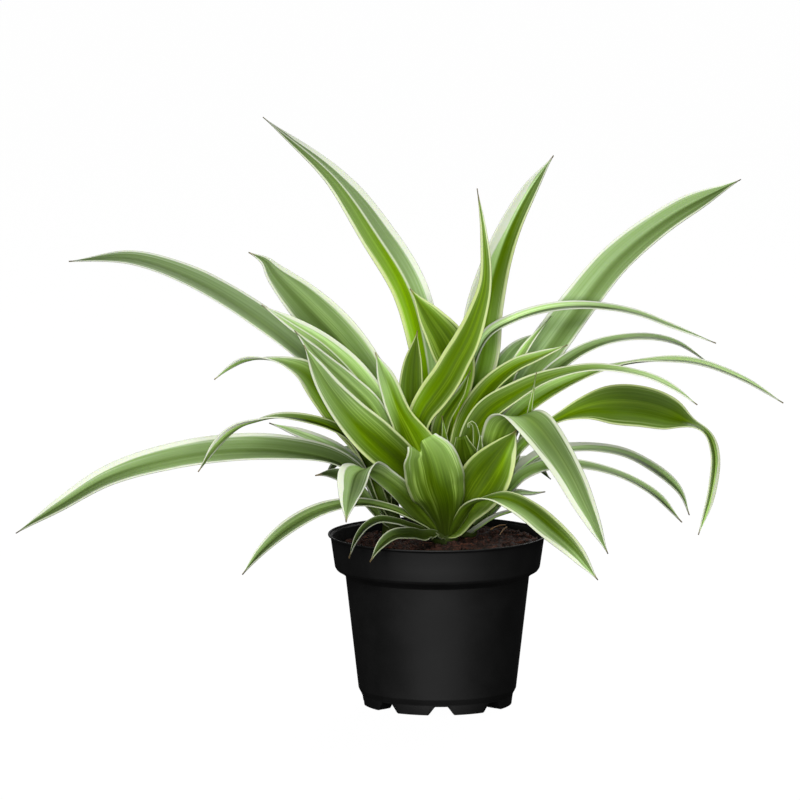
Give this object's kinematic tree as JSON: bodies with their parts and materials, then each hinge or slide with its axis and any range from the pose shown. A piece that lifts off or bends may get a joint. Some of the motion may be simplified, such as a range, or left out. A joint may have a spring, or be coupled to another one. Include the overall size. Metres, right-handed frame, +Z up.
{
  "type": "potted spider plant",
  "caption": "Spider plant with long arching green leaves with cream margins, rooted in soil in a round tapered nursery pot with a notched foot.",
  "frame": {"origin": "centre of the plant's footprint, on the floor under the pot's foot", "axes": "+Z up, -Y towards the front view, +X to the right along the widest spread of the leaves"},
  "size_m": [0.4192, 0.2386, 0.3151],
  "materials": {
    "pot_plastic": "satin",
    "soil": "matte",
    "crown": "satin",
    "leaf": "satin"
  },
  "bodies": {
    "root": {"pot": "pot_plastic", "soil": "soil", "crown_front": "crown", "crown_left": "crown", "crown_right": "crown", "crown_back": "crown", "leaf_front_shield": "leaf", "leaf_right_cup": "leaf", "leaf_low_right_arch": "leaf", "leaf_left_drooping": "leaf", "leaf_low_left_arch": "leaf", "leaf_low_left_small": "leaf", "leaf_low_left_withered": "leaf", "leaf_left_blade": "leaf", "leaf_centre_left": "leaf", "leaf_centre_tall": "leaf", "leaf_centre_narrow": "leaf", "leaf_upright_left": "leaf", "leaf_short_broad": "leaf", "leaf_right_71": "leaf", "leaf_right_arch_big": "leaf", "leaf_right_long_142": "leaf", "leaf_right_long_189": "leaf", "leaf_right_149": "leaf", "leaf_right_tall": "leaf", "leaf_right_inner_narrow": "leaf", "leaf_right_bulge": "leaf", "leaf_right_low_138": "leaf", "leaf_right_low_134": "leaf", "leaf_right_low_59": "leaf", "leaf_right_low_pale": "leaf", "leaf_left_twist": "leaf", "leaf_left_arch_131": "leaf", "leaf_left_long_low": "leaf", "leaf_left_behind": "leaf", "leaf_left_low_short": "leaf", "leaf_left_mid_pale": "leaf", "leaf_left_folded": "leaf", "leaf_left_upper_broad": "leaf", "leaf_left_long_upper": "leaf", "leaf_top_left_tall": "leaf", "leaf_upright_right": "leaf", "leaf_right_thin_arc": "leaf", "leaf_right_inner": "leaf", "leaf_back_left": "leaf", "leaf_back_right": "leaf", "leaf_back_tall": "leaf", "leaf_back_low_right": "leaf", "leaf_back_low_left": "leaf", "leaf_back_low": "leaf", "leaf_back_side_right": "leaf", "leaf_back_side_left": "leaf"}
  },
  "joints": []
}
